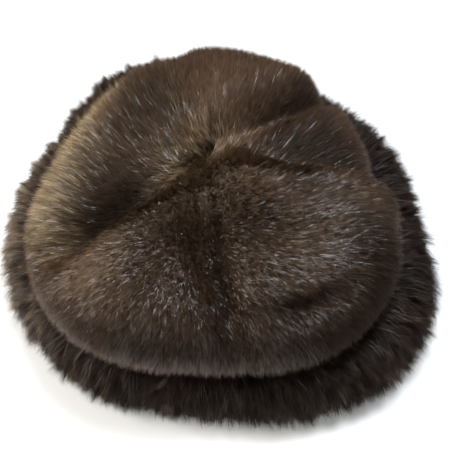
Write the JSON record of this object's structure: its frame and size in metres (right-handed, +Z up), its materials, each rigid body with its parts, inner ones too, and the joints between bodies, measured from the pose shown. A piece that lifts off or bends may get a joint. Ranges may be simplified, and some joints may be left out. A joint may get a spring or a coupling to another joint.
{
  "type": "faux fur hat",
  "caption": "A brown faux fur hat: a crown of five fur gores that meet in a tuck at the top, and a wide turned-up fur cuff around the head band.",
  "frame": {"origin": "the middle of the hat's box from above, on the surface that the cuff stands on", "axes": "Z up from the surface to the crown; X from the hat's left to its right; Y from its front, the side towards the viewer, to its back"},
  "size_m": [0.2904, 0.2932, 0.1144],
  "materials": {
    "gore_front_fur": "long dense brown faux fur pile, glossy, lying down the gore in small tufts",
    "gore_right_fur": "long dense dark brown faux fur pile, glossy, with cool glints on the guard hairs",
    "gore_back_right_fur": "long dense dark brown faux fur pile, flattened",
    "gore_back_fur": "long dense brown faux fur pile with light tan tips",
    "gore_left_fur": "long dense brown faux fur pile with light tan tips at the rim",
    "cuff_fur": "longer, looser dark brown faux fur pile with greyish tips"
  },
  "bodies": {
    "root": {"gore_front": "gore_front_fur", "gore_right": "gore_right_fur", "gore_back_right": "gore_back_right_fur", "gore_back": "gore_back_fur", "gore_left": "gore_left_fur", "cuff": "cuff_fur"}
  },
  "joints": []
}
